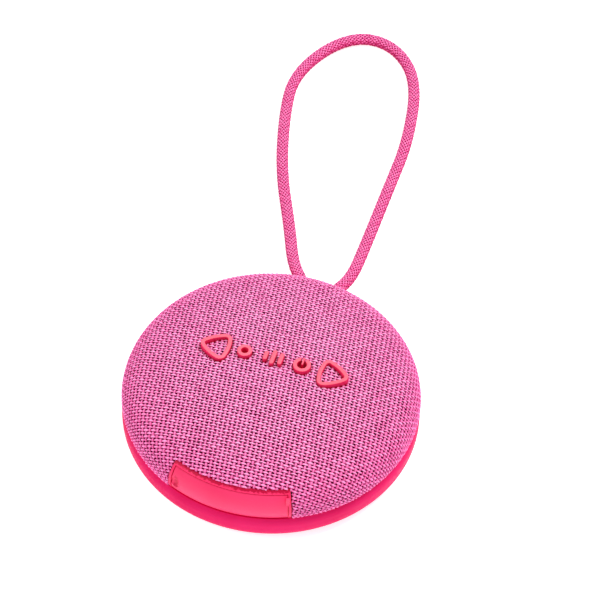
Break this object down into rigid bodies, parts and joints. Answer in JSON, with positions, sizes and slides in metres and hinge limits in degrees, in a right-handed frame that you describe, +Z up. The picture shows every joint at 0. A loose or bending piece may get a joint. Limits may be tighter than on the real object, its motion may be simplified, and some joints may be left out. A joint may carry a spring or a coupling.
{
  "type": "portable shower speaker",
  "caption": "Round puck speaker with a woven domed top, raised rubber buttons, a flap over the sockets, a rubber bumper and a hanging cord loop.",
  "frame": {"origin": "centre of the base, on the surface that the speaker stands on", "axes": "+Z up through the dome, -Y towards the port cover, +Y towards the hanging loop, the row of buttons along X"},
  "size_m": [0.09, 0.2139, 0.0277],
  "materials": {
    "woven_fabric": "open plain weave",
    "bumper_rubber": "smooth satin",
    "pad_rubber": "matt",
    "housing_plastic": "satin",
    "seal_rubber": "matt",
    "screw_steel": "zinc plated",
    "frame_plastic": "matt",
    "surround_rubber": "satin",
    "cover_rubber": "satin",
    "grommet_rubber": "matt",
    "cord_fabric": "fine braid",
    "basket_metal": "semi-matt",
    "yoke_steel": "zinc plated",
    "magnet_metal": "nickel plated",
    "foam_pad": "open foam",
    "coil_copper": "enamelled copper wire",
    "cone_paper": "pressed paper",
    "roll_rubber": "satin",
    "spider_cloth": "resin-stiffened cloth",
    "circuit_board": "solder mask",
    "chip_plastic": "matt",
    "socket_metal": "drawn shell",
    "battery_foil": "foil pouch",
    "flex_film": "polyimide",
    "wire_jacket": "satin",
    "button_rubber": "satin",
    "dome_rubber": "translucent matt"
  },
  "bodies": {
    "speaker_body": {"fabric_cover": "woven_fabric", "bumper": "bumper_rubber", "base_pad": "pad_rubber", "rear_housing": "housing_plastic", "seal_ring": "seal_rubber", "housing_screws": "screw_steel", "grille_frame": "frame_plastic", "port_surround": "surround_rubber", "lanyard_grommet": "grommet_rubber", "lanyard_anchor_pin": "screw_steel", "loop_bight": "cord_fabric", "hanging_loop": "cord_fabric", "driver_basket": "basket_metal", "driver_yoke": "yoke_steel", "driver_magnet": "magnet_metal", "driver_pole_plate": "yoke_steel", "yoke_pad": "foam_pad", "driver_surround": "roll_rubber", "driver_spider": "spider_cloth", "driver_gasket": "foam_pad", "button_bridge": "frame_plastic", "button_board": "circuit_board", "button_board_screws": "screw_steel", "main_board": "circuit_board", "main_board_screws": "screw_steel", "board_chips": "chip_plastic", "usb_socket": "socket_metal", "aux_socket": "chip_plastic", "battery_cell": "battery_foil", "battery_pad": "foam_pad", "flex_cable": "flex_film", "speaker_wires": "wire_jacket", "battery_wires": "wire_jacket", "volume_down_dome": "dome_rubber", "pairing_dome": "dome_rubber", "mode_dome": "dome_rubber", "power_dome": "dome_rubber", "volume_up_dome": "dome_rubber"},
    "port_cover": {"port_cover": "cover_rubber"},
    "volume_down_key": {"volume_down_button": "button_rubber"},
    "pairing_key": {"pairing_button": "button_rubber"},
    "mode_key": {"mode_button": "button_rubber"},
    "power_key": {"power_button": "button_rubber"},
    "volume_up_key": {"volume_up_button": "button_rubber"},
    "cone_assembly": {"driver_cone": "cone_paper", "driver_dust_cap": "cone_paper", "voice_coil": "coil_copper"}
  },
  "joints": [
    {"name": "port_cover_hinge", "type": "hinge", "parent": "speaker_body", "child": "port_cover", "pos_m": [0.01772, -0.04076, 0.0145], "axis": [0, 0, 1], "range_deg": [0, 110], "stiffness_Nm_per_rad": 0.001},
    {"name": "volume_down_press", "type": "slide", "parent": "speaker_body", "child": "volume_down_key", "axis": [0, 0, -1], "range_m": [0, 0.0005], "stiffness_N_per_m": 300, "springref_m": -0.001, "deforming": ["volume_down_dome"]},
    {"name": "pairing_press", "type": "slide", "parent": "speaker_body", "child": "pairing_key", "axis": [0, 0, -1], "range_m": [0, 0.0005], "stiffness_N_per_m": 300, "springref_m": -0.001, "deforming": ["pairing_dome"]},
    {"name": "mode_press", "type": "slide", "parent": "speaker_body", "child": "mode_key", "axis": [0, 0, -1], "range_m": [0, 0.0005], "stiffness_N_per_m": 300, "springref_m": -0.001, "deforming": ["mode_dome"]},
    {"name": "power_press", "type": "slide", "parent": "speaker_body", "child": "power_key", "axis": [0, 0, -1], "range_m": [0, 0.0005], "stiffness_N_per_m": 300, "springref_m": -0.001, "deforming": ["power_dome"]},
    {"name": "volume_up_press", "type": "slide", "parent": "speaker_body", "child": "volume_up_key", "axis": [0, 0, -1], "range_m": [0, 0.0005], "stiffness_N_per_m": 300, "springref_m": -0.001, "deforming": ["volume_up_dome"]},
    {"name": "cone_travel", "type": "slide", "parent": "speaker_body", "child": "cone_assembly", "axis": [0, 0, 1], "range_m": [-0.0012, 0.0012], "stiffness_N_per_m": 400, "deforming": ["driver_surround", "driver_spider"]}
  ]
}
